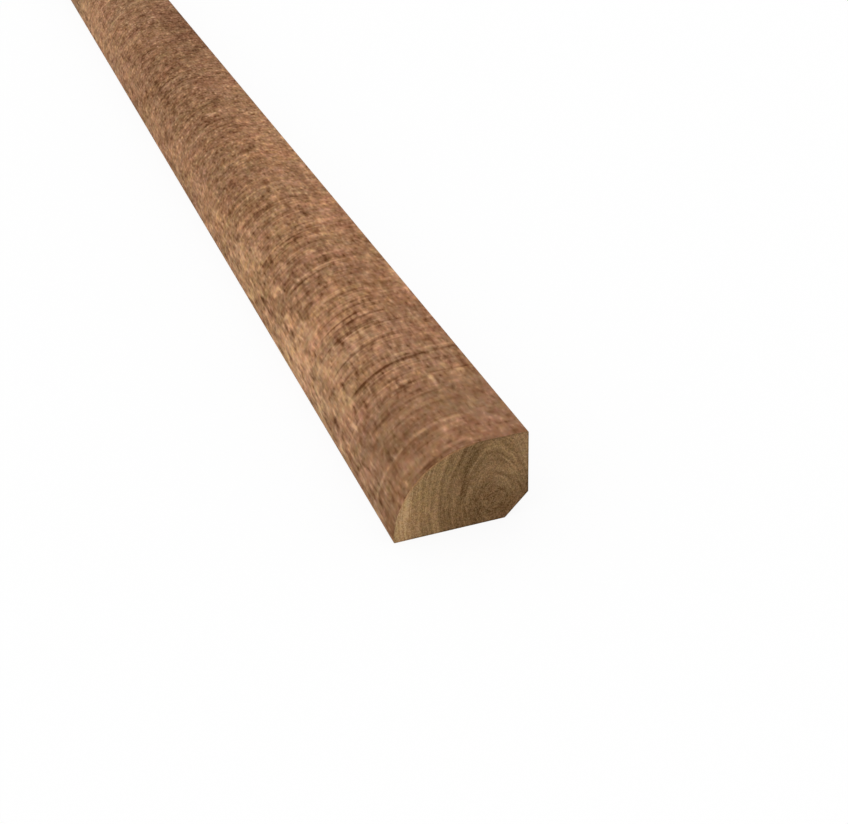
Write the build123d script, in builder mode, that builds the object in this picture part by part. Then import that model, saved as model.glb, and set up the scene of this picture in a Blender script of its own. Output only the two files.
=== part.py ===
from build123d import *

import os
from math import sqrt

# A shoe moulding is the small strip that covers the gap between a skirting board and a floor.
# It is one length of solid wood, run through a moulder and sawn square at both ends.
# Here it lies on its back, the wide flat face that goes against the skirting board.
# X runs across the section, from the toe to the foot, and Y along the grain.
# The origin is on the back's plane, at the middle of the width and of the length.

# Driving dimensions, in millimetres
length = 1981.2  # 78 in, a length in which finished shoe moulding is sold
nose_radius = 12.7  # 1/2 in quarter round, which is also as deep as the moulding is
shoulder_width = 6.35  # 1/4 in flat between the quarter round and the foot
relief_face = 4.7625  # 3/16 in across the cut that keeps the hidden corner clear of debris
arris_radius = 0.2  # sanded edge along each lengthwise corner

# Sizes that follow from them
depth = nose_radius
back_width = nose_radius + shoulder_width
relief_leg = relief_face / sqrt(2)

# The section's corners, as X and Z
toe_x = -back_width / 2
foot_x = back_width / 2
nose_centre = (toe_x + nose_radius, 0)
toe = (toe_x, 0)
shoulder_start = (toe_x + nose_radius, depth)
shoulder_end = (foot_x, depth)
relief_top = (foot_x, relief_leg)
relief_bottom = (foot_x - relief_leg, 0)

# The section is drawn half way along the length and drawn out both ways.
# The quarter round leaves the back upright and meets the shoulder flat.
# Every corner but that smooth meeting is sanded.
with BuildPart() as moulding:
    with BuildSketch(Plane.XZ) as section:
        with BuildLine() as outline:
            back = Line(toe, relief_bottom)
            relief = Line(relief_bottom, relief_top)
            foot = Line(relief_top, shoulder_end)
            shoulder = Line(shoulder_end, shoulder_start)
            nose = CenterArc(nose_centre, nose_radius, start_angle=90, arc_size=90)
        make_face()
        corners = section.vertices().sort_by_distance(shoulder_start)[1:]
        fillet(corners, radius=arris_radius)
    extrude(amount=length / 2, both=True)
moulding.part.label = "shoe_moulding"

os.makedirs("parts", exist_ok=True)
export_step(moulding.part, "parts/shoe_moulding.step")
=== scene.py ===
import math

import bpy
from mathutils import Matrix, Vector


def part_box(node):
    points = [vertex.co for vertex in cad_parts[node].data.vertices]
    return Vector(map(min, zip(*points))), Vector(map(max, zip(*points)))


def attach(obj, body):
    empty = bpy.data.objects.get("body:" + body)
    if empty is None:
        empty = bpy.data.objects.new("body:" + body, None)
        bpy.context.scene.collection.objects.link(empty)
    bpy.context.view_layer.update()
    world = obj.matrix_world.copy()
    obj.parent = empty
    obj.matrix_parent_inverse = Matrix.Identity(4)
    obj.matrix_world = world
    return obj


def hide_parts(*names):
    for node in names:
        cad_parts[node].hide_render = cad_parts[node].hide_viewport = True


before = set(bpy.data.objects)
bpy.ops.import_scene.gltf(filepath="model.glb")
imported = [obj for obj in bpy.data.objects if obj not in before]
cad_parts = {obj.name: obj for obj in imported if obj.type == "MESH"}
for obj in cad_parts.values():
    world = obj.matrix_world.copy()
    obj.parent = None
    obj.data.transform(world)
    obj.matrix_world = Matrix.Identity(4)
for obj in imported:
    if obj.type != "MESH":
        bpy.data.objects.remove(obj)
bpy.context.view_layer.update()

# A length of shoe moulding lies on its back on a pale floor, seen from just beyond its near sawn end.
# X runs across the section from the toe to the foot, Y along the length, Z up. Sizes are in metres.
NODE = "shoe_moulding"
MM = 0.001

# Section and length, from the frame and the sizes that the box doesn't give
box_low, box_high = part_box(NODE)
DEPTH = box_high.z
LENGTH = box_high.y - box_low.y
NEAR_Y = box_low.y
TOE_X = box_low.x
FOOT_X = box_high.x
NOSE_RADIUS = DEPTH
SHOULDER_WIDTH = 6.35 * MM
RELIEF_LEG = 4.7625 * MM / math.sqrt(2)
ARRIS = 0.2 * MM
NOSE_X = FOOT_X - SHOULDER_WIDTH

# The sides of the section in order from the toe, over the face and back, each with its steps in the mesh
STEPS = {
    "nose": 56,
    "shoulder": 18,
    "shoulder_arris": 4,
    "foot": 8,
    "foot_arris": 2,
    "relief": 4,
    "back_arris": 2,
    "back": 12,
    "toe_arris": 4,
}
STAINED_SIDES = ("nose", "shoulder", "shoulder_arris", "toe_arris")

# Each end is closed by rings of these sizes round a middle, given as X and Z
END_RINGS = (0.85, 0.6, 0.3)
END_MIDDLE = (NOSE_X - 2 * MM, DEPTH / 2)

# The order of the three materials on the mesh
STAINED, BARE, SAWN = range(3)

# The map that the looks can be stored in holds the length in strips, one above the other, and both
# ends in a row above them. Each strip has its end in mm, its rings' spacing in mm and its share of the
# map's height. FACE_SHARE is the share of a strip that the face takes, and the bare sides take the rest.
STRIPS = (
    (165, 3, 0.215),
    (330, 3, 0.215),
    (743, 12, 0.1),
    (1156, 12, 0.1),
    (1568, 12, 0.1),
    (LENGTH / MM, 12, 0.1),
)
FACE_SHARE = 0.7
END_HEIGHT = 0.14
MARGIN = 0.004

# The floor: the share of its look that is a plain white glow, while the rest takes the shadow,
# the white of that rest, and how far it reaches each way
FLOOR_GLOW = 0.9
FLOOR_WHITE = 0.97
FLOOR_REACH = 30.0

# Camera, solved from the straight edges of the object in the photo
EYE_FROM_TOE = Vector((-44.93, -145.35, 109.25)) * MM
HEADING = math.radians(18.89)
DIP = math.radians(30.49)
ROLL = math.radians(-2.0)
LENS = 60.77
SENSOR = 36.0

# What the finish does to a colour: the white that its sheen adds, and the share of the colour it leaves
SHEEN = 0.016
LEFT_BY_SHEEN = 0.955

# How rough a figure's darkest level is, by how much its lightest one differs, and how it all reflects.
# Then how far the lightest stands up from the darkest, and the share of that which is shown
ROUGHNESS = 0.85
ROUGHNESS_CHANGE = -0.2
SPECULAR = 0.1
RELIEF = 0.05 * MM
RELIEF_SHOWN = 0.5

# By which share red and green change where the warmth is 1, and blue where the yellowness is 1
WARMTH_TO_RED = 0.12
WARMTH_TO_GREEN = -0.04
YELLOWNESS_TO_BLUE = -0.3

# The stained face is described in mm across, from the toe, and in mm along, from the near end.
# Its parts, each with the place where it fades out and the place from which it is in full
SHOULDER_START = NOSE_RADIUS * math.pi / 2 / MM
PARTS_ACROSS = {
    "toe": (11, 4),
    "shoulder": (SHOULDER_START - 0.4, SHOULDER_START + 0.1),
}
PARTS_ALONG = {
    "near": (20, 16),
    "foreground": (48, 38),
    "before_far": (130, 60),
    "before_blotches": (190, 130),
    "in_photo": (320, 220),
    "out_of_view": (240, 320),
}

# A figure is a level from 0, dark, to 1, light. Noise that moves it has a seed, and then rows that each
# have a size across and along in mm and the amount by which they move the level.
PATCHES = (1, (4, 14, 0.02))
LONG_PATCHES = (6, (9, 120, 0.05), (3, 60, 0.03))
CROSSWISE = (11, (14, 2, 0.045), (8, 1.2, 0.05), (9, 0.5, 0.045))
LENGTHWISE = (21, (2, 9, 0.04), (1.0, 4.5, 0.055), (0.5, 2.6, 0.06))
SPECKLE = (31, (1.6, 2.4, 0.035), (0.8, 1.4, 0.05), (0.45, 1.0, 0.06))
BLOTCHES = (36, (3, 5, 0.04), (1.8, 2.6, 0.03))

# The layers of the stain's figure: whether each is sparse, which means calm but for a few strong
# places, and by which share it is stronger or weaker on some parts of the face
STAIN_LAYERS = (
    (PATCHES, False, {"toe": 0.5, "near_calm": 0.8, "far": -0.8}),
    (LONG_PATCHES, False, {"in_photo": -1.0}),
    (CROSSWISE, True, {"toe": -0.9, "near": -0.5, "far": -0.4, "shoulder": -0.55}),
    (LENGTHWISE, True, {"toe": 0.7, "shoulder": -0.2, "near_calm": -0.7, "far": -0.5}),
    (SPECKLE, True, {"near_calm": -0.25, "far": 0.35, "toe": -0.2}),
    (BLOTCHES, False, {"before_blotches": -1.0, "out_of_view": -1.0}),
)

# Noise that shifts the hue, from olive to pink and from blue-grey to yellow, and the shifts of parts
WARMTH = (51, (12, 9, 0.09), (3, 4, 0.13), (1.0, 1.6, 0.15), (0.45, 1.0, 0.14))
WARMTH_SHIFTS = {"shoulder": 0.1, "cool_toe": -0.3, "near": -0.15}
YELLOWNESS = (111, (9, 8, 0.06), (2.5, 3, 0.08), (1.0, 1.6, 0.12), (0.45, 1.0, 0.12))
YELLOWNESS_SHIFTS = {"foreground": -0.2, "near": -0.1, "toe": 0.1}

# The face's general level, at places along it, and how far the toe and the shoulder are from it
TREND = (
    (0, 0.41), (9, 0.47), (18, 0.47), (30, 0.51), (37, 0.59), (45, 0.54), (60, 0.49), (85, 0.46),
    (110, 0.43), (150, 0.39), (180, 0.35), (215, 0.42), (240, 0.45),
)
TOE_TREND = (
    (0, 0.0), (15, 0.03), (25, 0.08), (37, 0.16), (52, 0.24), (65, 0.08), (100, 0.12), (140, 0.15),
    (240, 0.13),
)
SHOULDER_TREND = (
    (0, 0.03), (25, 0.03), (37, -0.12), (50, 0.0), (72, 0.06), (110, 0.13), (147, 0.1), (177, 0.04),
    (212, -0.14), (240, -0.06),
)

# Broad light and dark places: across, along, half width, half length, change of level
BROAD_PLACES = (
    (14, 7, 3.5, 4, -0.17),
    (7, 9, 2, 6, -0.14),
    (22.5, 12, 4, 6, -0.13),
    (3, 13, 3, 7, 0.17),
    (12, 22.5, 9, 2, -0.11),
    (14, 18.5, 2, 2, 0.17),
    (15, 31, 3, 2, -0.13),
    (3, 41, 3, 4, -0.16),
    (6.5, 35, 2, 3, 0.15),
    (14, 43, 2, 2, -0.12),
    (20.5, 53, 5, 5, -0.16),
    (2, 50, 2, 4, 0.18),
    (6.5, 51, 1.5, 3, 0.18),
    (4.5, 58, 1.5, 4, -0.17),
    (12, 59, 2, 3, -0.18),
    (16.5, 55, 2, 2, 0.16),
    (10, 73, 5, 4, 0.11),
    (8, 89, 2.5, 4, 0.15),
    (24, 89, 3, 5, -0.13),
    (9.5, 97, 2, 4, -0.14),
)

# Lines that cross the face: place along, start and end across, half thickness, change of level
CROSS_LINES = (
    # The first, pale and right at the near end's edge, is a painted highlight where that edge catches
    # the light
    (0.15, 13, 18, 0.2, 0.12),
    (0.9, 10, 18.5, 0.3, -0.16),
    (1.7, 10, 18.5, 0.3, 0.12),
    (2.3, 16.1, 16.6, 0.3, -0.25),
    (3.2, 14.5, 15, 0.3, -0.25),
    (3.9, 12.3, 13.3, 0.35, -0.25),
    (4.5, 10, 19, 0.4, -0.12),
    (6.0, 15.5, 19.2, 1.2, 0.3),
    (7.35, 2.5, 19.5, 0.4, 0.24),
    (9.6, 8, 16, 1.0, -0.05),
    (12.0, 9, 19.4, 0.25, -0.08),
    (15.0, 7, 19.4, 0.4, -0.14),
    (18.6, 9, 19, 0.3, -0.16),
    (19.6, 20, 26, 0.25, -0.2),
    (19.8, 3, 17, 0.4, 0.18),
    (23.9, 9, 15, 1.1, -0.16),
    (24.6, 10, 19.5, 0.25, 0.12),
    (25.2, 8.6, 19.8, 0.4, -0.36),
    (25.75, 19.8, 26.5, 0.4, -0.28),
    (27.0, 9, 26, 0.5, 0.14),
    (33.0, 8.5, 19.9, 0.3, -0.22),
    (36.7, 9, 19.5, 0.4, 0.16),
    (38.3, 9, 19.2, 1.1, -0.15),
    (40.9, 13, 19.9, 0.3, -0.24),
    (41.5, 10, 19, 0.25, 0.14),
    (42.5, 9.5, 17, 0.4, -0.38),
    (60.1, 9, 19.5, 0.4, -0.3),
    (61.4, 9, 19.5, 0.5, 0.24),
    (64.2, 9, 26, 0.6, -0.16),
    (75.2, 7, 17, 0.4, -0.2),
)

# Lines that run along it: place across, start and end along, half thickness, change of level
LONG_LINES = (
    (19.5, 1.5, 4, 0.3, 0.12),
    (19.5, 15, 19.5, 0.3, 0.25),
    (20.1, 15.5, 18.5, 0.2, -0.22),
    (19.4, 26, 34, 0.25, 0.14),
    (12.9, 34, 37, 0.25, 0.16),
    (12.5, 32, 36, 0.2, -0.18),
    (9.1, 42, 46, 0.35, 0.18),
    (8.4, 48, 51, 0.3, 0.2),
    (7.6, 51.5, 56, 0.25, -0.25),
    (7.6, 38.5, 41, 0.25, -0.25),
    (6.1, 19.5, 24, 0.35, 0.18),
    (6.1, 30, 32, 0.3, -0.25),
    (4.8, 49.5, 53, 0.25, -0.22),
    (4.2, 31, 36, 0.25, -0.16),
)

# How far from its ends a line fades in and out, the noise by which the lines waver, both in mm,
# and the noise that makes them stronger and weaker from place to place
LINE_FADE = 1.0
LINE_WAVER = (41, (6, 3, 0.1))
LINE_CHANGE = (43, (1.2, 4, 0.25))

# The stain's colours on a screen, from 0 to 255, at levels of its figure
STAIN_COLOURS = (
    (0.0, (96, 64, 43)),
    (0.1, (108, 73, 51)),
    (0.3, (130, 93, 66)),
    (0.5, (152, 113, 83)),
    (0.7, (176, 132, 98)),
    (0.9, (198, 152, 113)),
    (1.0, (210, 162, 121)),
)

# The bare wood is described in mm from the toe, X, from the near end, Y, and from the back, Z.
# Its growth rings go round a centre near the foot, given as X and Z, that drifts along the length.
# A height above or below the centre is raised to RING_POWER and multiplied by RING_SIZE, which makes
# the rings a little pointed beside it.
RING_CENTRE = (14.2, 3.5)
RING_DRIFT = 0.004
RING_POWER = 0.7
RING_SIZE = 1.1

# The level of the rings, at distances from their centre
RINGS = (
    (0.0, 0.42), (2.0, 0.42), (2.8, 0.44), (3.2, 0.43), (3.6, 0.48), (3.9, 0.41), (4.2, 0.46),
    (4.7, 0.42), (5.0, 0.37), (5.5, 0.4), (6.0, 0.47), (6.4, 0.42), (6.9, 0.47), (7.5, 0.45),
    (8.1, 0.6), (8.6, 0.68), (9.0, 0.6), (9.6, 0.65), (10.0, 0.58), (10.6, 0.68), (11.3, 0.63),
    (12.0, 0.75), (12.6, 0.9), (13.5, 0.82), (16.0, 0.78),
)

# Noise of the bare wood, with sizes on X, Y and Z. That of the fibres has its sizes outwards in mm,
# round the rings in radians and along in mm, all three times FIBRE_SCALE.
RING_WARP = (61, (5, 150, 5, 0.12), (1.2, 60, 1.2, 0.03))
FIBRES = (71, (0.9, 8, 1, 0.02), (0.35, 6, 1, 0.04), (0.17, 3, 1, 0.04))
FIBRE_SCALE = (1, 5, 1 / 40)
PORES = (81, (0.5, 16, 0.5, 0.02), (0.15, 10, 0.17, 0.07))
BARE_WARMTH = (101, (3, 60, 3, 0.07), (0.6, 20, 0.6, 0.12))
BARE_YELLOWNESS = (121, (3, 60, 3, 0.05), (0.5, 20, 0.5, 0.12))

# How much the bare wood is lighter than its rings alone, and its long sides than its ends
BARE_LIGHTER = 0.03
SIDES_LIGHTER = 0.12

# Where the bare wood's parts fade out and where they are in full, and the shifts there
FOOT_ON_X = (7, 12)
RELIEF_ON_Z = (7, 1)
SHOULDER_ON_X = (11.5, 14)
SHOULDER_ON_Z = (4, 8)
BARE_LEVEL_SHIFTS = {"shoulder": 0.14, "relief": -0.09}
BARE_WARMTH_SHIFTS = {"relief": 0.2}
BARE_YELLOWNESS_SHIFTS = {"foot": -0.1}

# On the ends: how far in from the bare edges the dark along them fades out and is in full, and its
# shift. The same of the stain along the rim, with a painted highlight there, which also fades out
# towards the shoulder and the back
EDGE_REACH = (0.3, 0.1)
EDGE_SHIFT = -0.12
RIM_REACH = (0.35, 0.1)
RIM_ON_X = (12.5, 11)
RIM_ON_Z = (3, 6)
RIM_STAIN_AND_HIGHLIGHT = 0.4

# On the long sides: how far the stain runs over from the toe and from the shoulder, fading out and in
# full, and the noise that makes its edge ragged
TOE_OVERRUN = (1.1, 0.6)
SHOULDER_OVERRUN = (0.9, 0.5)
OVERRUN_RAGGED = (91, (5, 9, 5, 0.2), (5, 2, 5, 0.12))

# The bare wood's colours on a screen, and that of the stain with a painted highlight on the end along
# its rim
BARE_COLOURS = (
    (0.1, (76, 57, 37)),
    (0.3, (98, 76, 53)),
    (0.5, (120, 95, 68)),
    (0.664, (138, 110, 79)),
    (0.8, (154, 124, 89)),
    (1.0, (178, 147, 109)),
)
RIM_COLOUR = (168, 120, 84)


def arc(centre, radius, start, turn, steps):
    """Points of an arc in the section, from the angle start and without the last one."""
    angles = [start + turn * step / steps for step in range(steps)]
    return [(centre[0] + radius * math.cos(a), centre[1] + radius * math.sin(a)) for a in angles]


def straight(start, end, steps):
    """Points of a straight side of the section, without the last one."""
    return [
        tuple(a + (b - a) * step / steps for a, b in zip(start, end))
        for step in range(steps)
    ]


def section_sides():
    """The sides of the section, each as its points."""
    quarter = math.pi / 2
    eighth = math.pi / 4
    toe_centre = (NOSE_X - math.sqrt((NOSE_RADIUS - ARRIS) ** 2 - ARRIS ** 2), ARRIS)
    nose_start = math.pi - math.asin(ARRIS / (NOSE_RADIUS - ARRIS))
    shoulder_end = FOOT_X - ARRIS
    setback = ARRIS * math.tan(eighth / 2)
    slope = setback / math.sqrt(2)
    relief_top = (FOOT_X - slope, RELIEF_LEG - slope)
    relief_bottom = (FOOT_X - RELIEF_LEG + slope, slope)
    foot_low = RELIEF_LEG + setback
    back_end = FOOT_X - RELIEF_LEG - setback
    arcs = {
        "nose": ((NOSE_X, 0), NOSE_RADIUS, nose_start, quarter - nose_start),
        "shoulder_arris": ((shoulder_end, DEPTH - ARRIS), ARRIS, quarter, -quarter),
        "foot_arris": ((FOOT_X - ARRIS, foot_low), ARRIS, 0, -eighth),
        "back_arris": ((back_end, ARRIS), ARRIS, -eighth, -eighth),
        "toe_arris": (toe_centre, ARRIS, -quarter, nose_start - 3 * quarter),
    }
    straights = {
        "shoulder": ((NOSE_X, DEPTH), (shoulder_end, DEPTH)),
        "foot": ((FOOT_X, DEPTH - ARRIS), (FOOT_X, foot_low)),
        "relief": (relief_top, relief_bottom),
        "back": ((back_end, 0), (toe_centre[0], 0)),
    }
    return {
        name: arc(*arcs[name], steps) if name in arcs else straight(*straights[name], steps)
        for name, steps in STEPS.items()
    }


def distances_round(outline):
    """How far each point of the section is from the toe, going over the face, and then the whole way."""
    distances = [NOSE_RADIUS * math.asin(ARRIS / (NOSE_RADIUS - ARRIS))]
    for start, end in zip(outline, outline[1:] + outline[:1]):
        distances.append(distances[-1] + math.dist(start, end))
    return distances


def stored_heights(distances, face_end):
    """Where those points are in a strip of the map, as shares of its height."""
    face_width = face_end - distances[0]
    bare_width = distances[-1] - face_end
    shares = []
    for distance in distances:
        on_face = min(distance - distances[0], face_width) / face_width
        on_bare = max(distance - face_end, 0) / bare_width
        shares.append(FACE_SHARE * on_face + (1 - FACE_SHARE) * on_bare)
    return shares


def strip_rings():
    """Each strip's rings, from the near end, with its lowest place on the map and its height there."""
    strips = []
    start = 0
    low = MARGIN
    for end, spacing, height in STRIPS:
        count = round((end - start) / spacing)
        places = [(start + (end - start) * k / count) * MM for k in range(count + 1)]
        strips.append((places, low, height))
        start = end
        low += height + MARGIN
    return strips


def stored_end(x, z, side):
    """Where a point of an end is on the map, in the left or the right half of the ends' row."""
    share_x = (x - TOE_X) / (FOOT_X - TOE_X)
    share_z = z / DEPTH
    return side + MARGIN + (0.5 - 2 * MARGIN) * share_x, 1 - MARGIN - END_HEIGHT * (1 - share_z)


class MeshBuild:
    """A mesh while it is put together, with two maps of its faces."""

    def __init__(self, points):
        self.points = points
        self.faces = []
        self.grain = []
        self.stored = []
        self.materials = []

    def add_face(self, corners, grain, stored, material):
        """Adds a face by its points, with each one's place in the grain and on the stored map."""
        self.faces.append(corners)
        self.grain += grain
        self.stored += stored
        self.materials.append(material)

    def mesh(self, name):
        """The finished mesh, smooth but for its sawn ends."""
        mesh = bpy.data.meshes.new(name)
        mesh.from_pydata(self.points, [], self.faces)
        for layer_name, places in (("Grain", self.grain), ("OFBake", self.stored)):
            layer = mesh.uv_layers.new(name=layer_name)
            layer.uv.foreach_set("vector", [value for place in places for value in place])
        mesh.polygons.foreach_set("material_index", self.materials)
        mesh.polygons.foreach_set("use_smooth", [material != SAWN for material in self.materials])
        mesh.update()
        return mesh


def add_length(build, sides, strips):
    """The faces of the long sides, ring by ring from the near end."""
    names = [name for name, side in sides.items() for _ in side]
    materials = [STAINED if name in STAINED_SIDES else BARE for name in names]
    distances = distances_round([point for side in sides.values() for point in side])
    heights = stored_heights(distances, distances[names.index("foot")])
    around = len(names)
    ring = 0
    for places, low, height in strips:
        reach = places[-1] - places[0]
        for near, far in zip(places, places[1:]):
            left, right = (MARGIN + (1 - 2 * MARGIN) * (y - places[0]) / reach for y in (near, far))
            for k in range(around):
                after = (k + 1) % around
                start, end = distances[k], distances[k + 1]
                bottom, top = low + height * heights[k], low + height * heights[k + 1]
                build.add_face(
                    (ring + k, ring + after, ring + around + after, ring + around + k),
                    [(start, near), (end, near), (end, far), (start, far)],
                    [(left, bottom), (left, top), (right, top), (right, bottom)],
                    materials[k],
                )
            ring += around


def add_end(build, outline, first, y, map_side, looks_along):
    """The faces of a sawn end, in rings that shrink to its middle. The first is a ring of the length."""
    around = len(outline)
    middle_x, middle_z = END_MIDDLE
    rings = [[first + k for k in range(around)]]
    for size in END_RINGS:
        rings.append([len(build.points) + k for k in range(around)])
        build.points += [
            (middle_x + (x - middle_x) * size, y, middle_z + (z - middle_z) * size)
            for x, z in outline
        ]
    centre = len(build.points)
    build.points.append((middle_x, y, middle_z))
    steps = [(k, (k + 1) % around) for k in range(around)]
    faces = [
        (outer[after], outer[k], inner[k], inner[after])
        for outer, inner in zip(rings, rings[1:])
        for k, after in steps
    ]
    faces += [(rings[-1][after], rings[-1][k], centre) for k, after in steps]
    for corners in faces:
        if looks_along:
            corners = corners[::-1]
        grain = [(build.points[corner][0], build.points[corner][2]) for corner in corners]
        stored = [stored_end(x, z, map_side) for x, z in grain]
        build.add_face(corners, grain, stored, SAWN)


def moulding_mesh():
    """One closed mesh of the whole moulding."""
    sides = section_sides()
    outline = [point for side in sides.values() for point in side]
    strips = strip_rings()
    places = [y for ring_places, _, _ in strips for y in ring_places[:-1]] + [LENGTH]
    build = MeshBuild([(x, NEAR_Y + y, z) for y in places for x, z in outline])
    last_ring = len(build.points) - len(outline)
    add_length(build, sides, strips)
    add_end(build, outline, 0, NEAR_Y, 0, looks_along=False)
    add_end(build, outline, last_ring, NEAR_Y + LENGTH, 0.5, looks_along=True)
    return build.mesh("shoe_moulding_looks")


def screen_colour(red, green, blue):
    """A colour as it is seen on a screen, from 0 to 255, in the linear values that a shader takes."""
    channels = [value / 255 for value in (red, green, blue)]
    linear = [c / 12.92 if c <= 0.04045 else ((c + 0.055) / 1.055) ** 2.4 for c in channels]
    return (*((c - SHEEN) / LEFT_BY_SHEEN for c in linear), 1)


class Graph:
    """A node tree that is built up socket by socket."""

    def __init__(self, tree):
        self.tree = tree

    def feed(self, socket, value):
        """Links a socket to another one's result, or gives it a plain value."""
        if isinstance(value, bpy.types.NodeSocket):
            self.tree.links.new(value, socket)
        else:
            socket.default_value = value

    def add(self, kind, inputs, **settings):
        """A new node with its inputs fed and its settings made."""
        node = self.tree.nodes.new("ShaderNode" + kind)
        for name, value in settings.items():
            setattr(node, name, value)
        for key, value in inputs.items():
            self.feed(node.inputs[key], value)
        return node

    def math(self, operation, *values):
        """The result of a maths operation on plain values."""
        return self.add("Math", dict(enumerate(values)), operation=operation).outputs[0]

    def vector(self, operation, *values):
        """The result of a maths operation on vectors."""
        return self.add("VectorMath", dict(enumerate(values)), operation=operation).outputs[0]

    def fold(self, operation, first, *others):
        """Joins the values one after another with a maths operation."""
        for value in others:
            first = self.math(operation, first, value)
        return first

    def total(self, *values):
        """The sum of the values."""
        return self.fold("ADD", *values)

    def times(self, *values):
        """The product of the values."""
        return self.fold("MULTIPLY", *values)

    def least(self, *values):
        """The least of the values."""
        return self.fold("MINIMUM", *values)

    def raised(self, value, mask, amount):
        """The value plus the mask's share of an amount."""
        return self.math("MULTIPLY_ADD", mask, amount, value)

    def scaled(self, value, *changes):
        """The value times 1 plus each mask's share of its own amount."""
        for mask, amount in changes:
            value = self.times(value, self.raised(1.0, mask, amount))
        return value

    def split(self, place):
        """The three parts of a place."""
        return self.add("SeparateXYZ", {0: place}).outputs

    def join(self, x, y, z):
        """A place from its three parts."""
        return self.add("CombineXYZ", {0: x, 1: y, 2: z}).outputs[0]

    def fade(self, value, start, end):
        """Goes smoothly from 0 at start to 1 at end."""
        inputs = {"Value": value, "From Min": start, "From Max": end}
        return self.add("MapRange", inputs, interpolation_type="SMOOTHSTEP").outputs["Result"]

    def bell(self, square):
        """1 where the square of a distance is 0, and less and less where it grows."""
        return self.math("EXPONENT", self.times(square, -1.0))

    def noise(self, place, sizes, seed):
        """Noise about 0 that mostly stays within 1 and has a size along each axis of the place."""
        scale = [1 / size for size in sizes] + [0] * (3 - len(sizes))
        offset = (seed, seed * 0.37, seed * 1.7)
        moved = self.vector("ADD", self.vector("MULTIPLY", place, scale), offset)
        noise = self.add("TexNoise", {"Vector": moved, "Scale": 1.0, "Detail": 0.0}).outputs[0]
        return self.times(self.math("SUBTRACT", noise, 0.5), 8.0)

    def layers(self, place, seed, *rows, sparse=False):
        """The sum of rows of noise, each with its sizes and then its strength."""
        results = []
        for k, (*sizes, strength) in enumerate(rows):
            noise = self.noise(place, sizes, seed + k)
            if sparse:
                noise = self.times(noise, self.math("ABSOLUTE", noise), 0.6)
            results.append(self.times(noise, strength))
        return self.total(*results)

    def ramp(self, level, stops):
        """The colour at a level, between stops that each have a level and a colour."""
        node = self.add("ValToRGB", {0: level})
        elements = node.color_ramp.elements
        elements.remove(elements[1])
        elements[0].position, elements[0].color = stops[0]
        for place, colour in stops[1:]:
            elements.new(place).color = colour
        return node.outputs[0]

    def profile(self, value, stops):
        """A level that follows the value from stop to stop, each a value and its level."""
        last = stops[-1][0]
        greys = [(at / last, (level + 0.5, level + 0.5, level + 0.5, 1)) for at, level in stops]
        return self.math("SUBTRACT", self.ramp(self.math("DIVIDE", value, last), greys), 0.5)

    def blend(self, share, first, second):
        """The first colour with a share of the second one."""
        return self.add("Mix", {"Factor": share, 6: first, 7: second}, data_type="RGBA").outputs[2]


def line_group():
    """A soft-ended line of the figure, across or along the face."""
    tree = bpy.data.node_groups.new("figure_line", "ShaderNodeTree")
    names = ("Position", "Run", "Place", "Start", "End", "Thickness", "Strength")
    for name in names:
        tree.interface.new_socket(name, in_out="INPUT", socket_type="NodeSocketFloat")
    tree.interface.new_socket("Level", in_out="OUTPUT", socket_type="NodeSocketFloat")
    given = tree.nodes.new("NodeGroupInput").outputs
    position, run, place, start, end, thickness, strength = (given[name] for name in names)
    result = tree.nodes.new("NodeGroupOutput").inputs[0]
    graph = Graph(tree)
    away = graph.math("DIVIDE", graph.math("SUBTRACT", position, place), thickness)
    begun, ended = (
        graph.fade(run, graph.math("SUBTRACT", edge, LINE_FADE), graph.math("ADD", edge, LINE_FADE))
        for edge in (start, end)
    )
    shown = graph.math("SUBTRACT", begun, ended)
    graph.feed(result, graph.times(graph.bell(graph.times(away, away)), shown, strength))
    return tree


def figure_lines(graph, place, across, along):
    """The sum of the lines that stand out on the face, a little wavy and uneven."""
    tree = line_group()
    along = graph.total(along, graph.layers(place, *LINE_WAVER))
    levels = []
    for lines, position, run in ((CROSS_LINES, along, across), (LONG_LINES, across, along)):
        for line in lines:
            node = graph.add("Group", {}, node_tree=tree)
            for socket, value in zip(node.inputs, (position, run, *line)):
                graph.feed(socket, value)
            levels.append(node.outputs[0])
    return graph.scaled(graph.total(*levels), (graph.layers(place, *LINE_CHANGE), 1.0))


def broad_places(graph, place):
    """The sum of the broad light and dark places, each fading out all round."""
    levels = []
    for across, along, half_width, half_length, strength in BROAD_PLACES:
        away = graph.vector("SUBTRACT", place, (across, along, 0))
        away = graph.vector("MULTIPLY", away, (1 / half_width, 1 / half_length, 0))
        square = graph.add("VectorMath", {0: away, 1: away}, operation="DOT_PRODUCT").outputs["Value"]
        levels.append(graph.times(graph.bell(square), strength))
    return graph.total(*levels)


def face_parts(graph, across, along):
    """A mask for each part of the stained face, 0 off it and 1 on it."""
    parts = {name: graph.fade(across, *ends) for name, ends in PARTS_ACROSS.items()}
    parts |= {name: graph.fade(along, *ends) for name, ends in PARTS_ALONG.items()}
    parts["far"] = graph.scaled(1.0, (parts["before_far"], -1.0), (parts["out_of_view"], -1.0))
    parts["near_calm"] = graph.scaled(parts["near"], (parts["toe"], -0.5))
    parts["cool_toe"] = graph.scaled(parts["toe"], (parts["near"], -0.8), (parts["far"], -1.0))
    return parts


def shifted(graph, value, parts, shifts):
    """The value, raised or lowered on some parts."""
    for name, amount in shifts.items():
        value = graph.raised(value, parts[name], amount)
    return value


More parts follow.
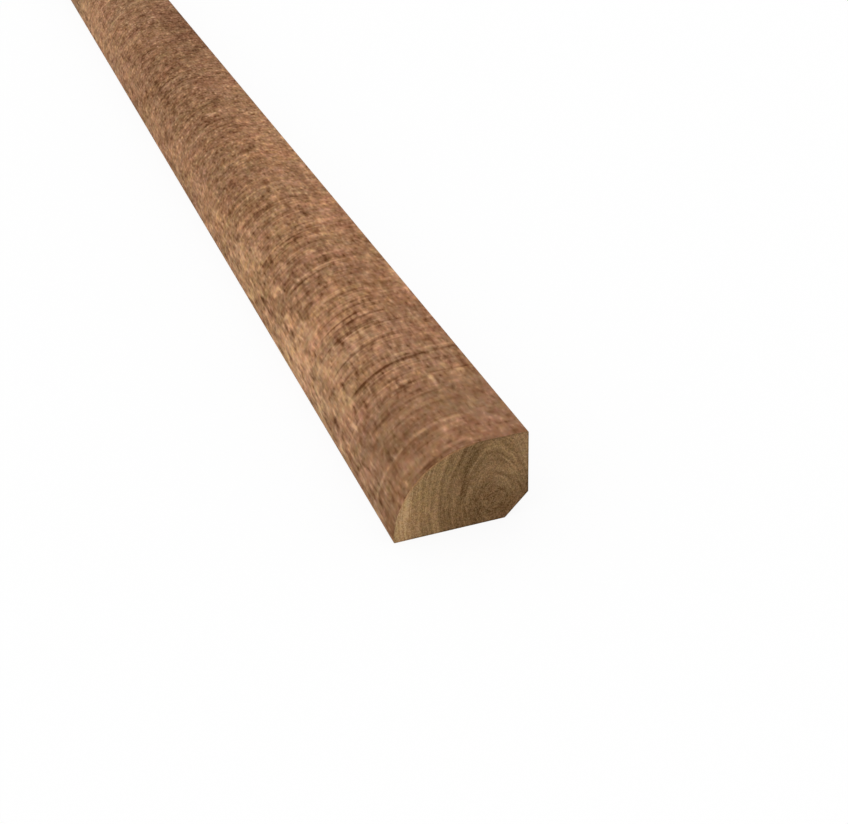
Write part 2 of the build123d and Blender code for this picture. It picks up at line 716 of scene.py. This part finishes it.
def stain_figure(graph, place):
    """The level of the stained face's figure, and how warm and how yellow its colour is."""
    across, along, _ = graph.split(place)
    parts = face_parts(graph, across, along)
    levels = [graph.profile(along, TREND), broad_places(graph, place)]
    levels.append(graph.times(parts["toe"], graph.profile(along, TOE_TREND)))
    levels.append(graph.times(parts["shoulder"], graph.profile(along, SHOULDER_TREND)))
    for rows, sparse, changes in STAIN_LAYERS:
        layer = graph.layers(place, *rows, sparse=sparse)
        levels.append(graph.scaled(layer, *((parts[name], amount) for name, amount in changes.items())))
    levels.append(figure_lines(graph, place, across, along))
    warmth = shifted(graph, graph.layers(place, *WARMTH), parts, WARMTH_SHIFTS)
    yellowness = shifted(graph, graph.layers(place, *YELLOWNESS), parts, YELLOWNESS_SHIFTS)
    return graph.total(*levels), warmth, yellowness


def figure_colour(graph, colours, level, warmth, yellowness):
    """The colour at a level of a figure, made warmer or cooler and more or less yellow."""
    colour = graph.ramp(level, [(at, screen_colour(*seen)) for at, seen in colours])
    red = graph.raised(1.0, warmth, WARMTH_TO_RED)
    green = graph.raised(1.0, warmth, WARMTH_TO_GREEN)
    blue = graph.raised(1.0, yellowness, YELLOWNESS_TO_BLUE)
    return graph.vector("MULTIPLY", colour, graph.join(red, green, blue))


def developed_place(graph):
    """Millimetres across and along the developed face."""
    developed = graph.add("UVMap", {}, uv_map="Grain").outputs[0]
    return graph.vector("MULTIPLY", developed, (1 / MM, 1 / MM, 0))


def solid_place(graph):
    """Millimetres from the toe, from the near end and from the back."""
    inside = graph.add("TexCoord", {}).outputs["Object"]
    moved = graph.vector("SUBTRACT", inside, (TOE_X, NEAR_Y, 0))
    return graph.vector("MULTIPLY", moved, (1 / MM, 1 / MM, 1 / MM))


def new_material(name):
    """A new material, the graph of its nodes and its shader."""
    material = bpy.data.materials.new(name)
    material.use_nodes = True
    return material, Graph(material.node_tree), material.node_tree.nodes["Principled BSDF"]


def finish_surface(graph, shader, colour, level):
    """Feeds the shader: what is darker is rougher and lies a little lower."""
    graph.feed(shader.inputs["Base Color"], colour)
    shader.inputs["Specular IOR Level"].default_value = SPECULAR
    graph.feed(shader.inputs["Roughness"], graph.raised(ROUGHNESS, level, ROUGHNESS_CHANGE))
    bump = graph.add("Bump", {"Height": level, "Distance": RELIEF, "Strength": RELIEF_SHOWN})
    graph.feed(shader.inputs["Normal"], bump.outputs[0])


def stained_face():
    """The stain on the quarter round and the shoulder."""
    material, graph, shader = new_material("stained_face")
    level, *hue = stain_figure(graph, developed_place(graph))
    finish_surface(graph, shader, figure_colour(graph, STAIN_COLOURS, level, *hue), level)
    return material


def ring_distance(graph, place):
    """How far out among the growth rings a place is, and which way it lies from their centre."""
    x, y, z = graph.split(place)
    beside = graph.math("SUBTRACT", graph.raised(x, y, -RING_DRIFT), RING_CENTRE[0])
    above = graph.math("SUBTRACT", z, RING_CENTRE[1])
    pointed = graph.times(graph.math("POWER", graph.math("ABSOLUTE", above), RING_POWER), RING_SIZE)
    square = graph.total(graph.times(beside, beside), graph.times(pointed, pointed))
    warp = graph.layers(place, *RING_WARP)
    return graph.total(graph.math("SQRT", square), warp), graph.math("ARCTAN2", above, beside)


def bare_figure(graph, place):
    """The level of the bare wood's figure, and how warm and how yellow its colour is."""
    x, y, z = graph.split(place)
    distance, turn = ring_distance(graph, place)
    round_rings = graph.vector("MULTIPLY", graph.join(distance, turn, y), FIBRE_SCALE)
    on_foot = graph.fade(x, *FOOT_ON_X)
    parts = {
        "foot": on_foot,
        "relief": graph.times(on_foot, graph.fade(z, *RELIEF_ON_Z)),
        "shoulder": graph.times(graph.fade(x, *SHOULDER_ON_X), graph.fade(z, *SHOULDER_ON_Z)),
    }
    rings = graph.profile(distance, RINGS)
    fibres = graph.layers(round_rings, *FIBRES)
    level = graph.total(rings, fibres, graph.layers(place, *PORES), BARE_LIGHTER)
    level = shifted(graph, level, parts, BARE_LEVEL_SHIFTS)
    warmth = shifted(graph, graph.layers(place, *BARE_WARMTH), parts, BARE_WARMTH_SHIFTS)
    yellowness = shifted(graph, graph.layers(place, *BARE_YELLOWNESS), parts, BARE_YELLOWNESS_SHIFTS)
    return level, warmth, yellowness


def bare_edges(graph, x, z):
    """A mask for the edges of an end that bare sides meet in."""
    foot = (FOOT_X - TOE_X) / MM
    to_foot = graph.math("SUBTRACT", foot, x)
    to_shoulder = graph.math("SUBTRACT", DEPTH / MM, z)
    beyond_relief = graph.math("SUBTRACT", graph.total(z, foot - RELIEF_LEG / MM), x)
    to_relief = graph.math("DIVIDE", beyond_relief, math.sqrt(2))
    return graph.fade(graph.least(z, to_foot, to_shoulder, to_relief), *EDGE_REACH)


def rim_stain_and_highlight(graph, x, z):
    """A mask for the quarter round's rim on an end, where stain and a painted highlight show. It fades
    out towards the shoulder and the back.
    """
    beside = graph.math("SUBTRACT", x, (NOSE_X - TOE_X) / MM)
    square = graph.total(graph.times(beside, beside), graph.times(z, z))
    to_nose = graph.math("SUBTRACT", NOSE_RADIUS / MM, graph.math("SQRT", square))
    on_rim = graph.fade(to_nose, *RIM_REACH)
    return graph.times(on_rim, graph.fade(x, *RIM_ON_X), graph.fade(z, *RIM_ON_Z))


def sawn_end():
    """The bare end grain, darker along its edges and with some stain and a painted highlight on its rim.
    """
    material, graph, shader = new_material("sawn_end")
    place = solid_place(graph)
    x, _, z = graph.split(place)
    level, *hue = bare_figure(graph, place)
    level = graph.raised(level, bare_edges(graph, x, z), EDGE_SHIFT)
    colour = figure_colour(graph, BARE_COLOURS, level, *hue)
    # Stain along the quarter round's rim, lightened as a painted highlight where the edge catches the
    # light
    rim = graph.times(rim_stain_and_highlight(graph, x, z), RIM_STAIN_AND_HIGHLIGHT)
    finish_surface(graph, shader, graph.blend(rim, colour, screen_colour(*RIM_COLOUR)), level)
    return material


def bare_side():
    """The bare long sides, with stain that has run over their edges at the toe and the shoulder."""
    material, graph, shader = new_material("bare_side")
    place = solid_place(graph)
    x, _, z = graph.split(place)
    level, *hue = bare_figure(graph, place)
    level = graph.total(level, SIDES_LIGHTER)
    colour = figure_colour(graph, BARE_COLOURS, level, *hue)
    ragged = graph.layers(place, *OVERRUN_RAGGED)
    by_toe = graph.fade(graph.total(x, ragged), *TOE_OVERRUN)
    on_shoulder = [DEPTH / MM - reach for reach in SHOULDER_OVERRUN]
    by_shoulder = graph.fade(graph.total(z, ragged), *on_shoulder)
    stain = figure_colour(graph, STAIN_COLOURS, *stain_figure(graph, developed_place(graph)))
    colour = graph.blend(graph.math("MAXIMUM", by_toe, by_shoulder), colour, stain)
    finish_surface(graph, shader, colour, level)
    return material


def add_moulding():
    """The moulding, in place of its CAD node."""
    mesh = moulding_mesh()
    for make_material in (stained_face, bare_side, sawn_end):
        mesh.materials.append(make_material())
    piece = bpy.data.objects.new("moulding", mesh)
    bpy.context.scene.collection.objects.link(piece)
    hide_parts(NODE)
    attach(piece, "root")


def floor_material():
    """White that glows evenly wherever it is seen, and that takes a faint shadow."""
    material, graph, shader = new_material("floor")
    shader.inputs["Base Color"].default_value = (FLOOR_WHITE, FLOOR_WHITE, FLOOR_WHITE, 1)
    shader.inputs["Roughness"].default_value = 0.9
    shader.inputs["Specular IOR Level"].default_value = 0.0
    path = graph.add("LightPath", {})
    glow = graph.add("Emission", {})
    kinds = ("Camera", "Glossy", "Transmission")
    seen = graph.total(*(path.outputs[f"Is {kind} Ray"] for kind in kinds))
    inputs = {0: graph.times(seen, FLOOR_GLOW), 1: shader.outputs[0], 2: glow.outputs[0]}
    mix = graph.add("MixShader", inputs)
    graph.feed(material.node_tree.nodes["Material Output"].inputs["Surface"], mix.outputs[0])
    return material


def add_floor():
    """A wide level floor at the height that the moulding rests on."""
    corners = [(x * FLOOR_REACH, y * FLOOR_REACH, 0) for x, y in ((-1, -1), (1, -1), (1, 1), (-1, 1))]
    mesh = bpy.data.meshes.new("floor")
    mesh.from_pydata(corners, [], [(0, 1, 2, 3)])
    mesh.materials.append(floor_material())
    floor = bpy.data.objects.new("floor", mesh)
    bpy.context.scene.collection.objects.link(floor)


def light_scene():
    """Even white light from all round."""
    world = bpy.data.worlds.new("studio")
    bpy.context.scene.world = world
    world.use_nodes = True
    background = world.node_tree.nodes["Background"]
    background.inputs["Color"].default_value = (1, 1, 1, 1)
    background.inputs["Strength"].default_value = 1.0


def add_camera():
    """The photo's own view."""
    data = bpy.data.cameras.new("camera")
    data.lens = LENS
    data.sensor_width = SENSOR
    data.clip_start = 0.01
    data.clip_end = 100
    camera = bpy.data.objects.new("camera", data)
    bpy.context.scene.collection.objects.link(camera)
    eye = Vector((TOE_X, NEAR_Y, 0)) + EYE_FROM_TOE
    heading = Matrix.Rotation(-HEADING, 4, "Z")
    tilt = Matrix.Rotation(math.pi / 2 - DIP, 4, "X")
    roll = Matrix.Rotation(ROLL, 4, "Z")
    camera.matrix_world = Matrix.Translation(eye) @ heading @ tilt @ roll
    bpy.context.scene.camera = camera


add_moulding()
add_floor()
light_scene()
add_camera()
bpy.context.scene.view_settings.view_transform = "Standard"
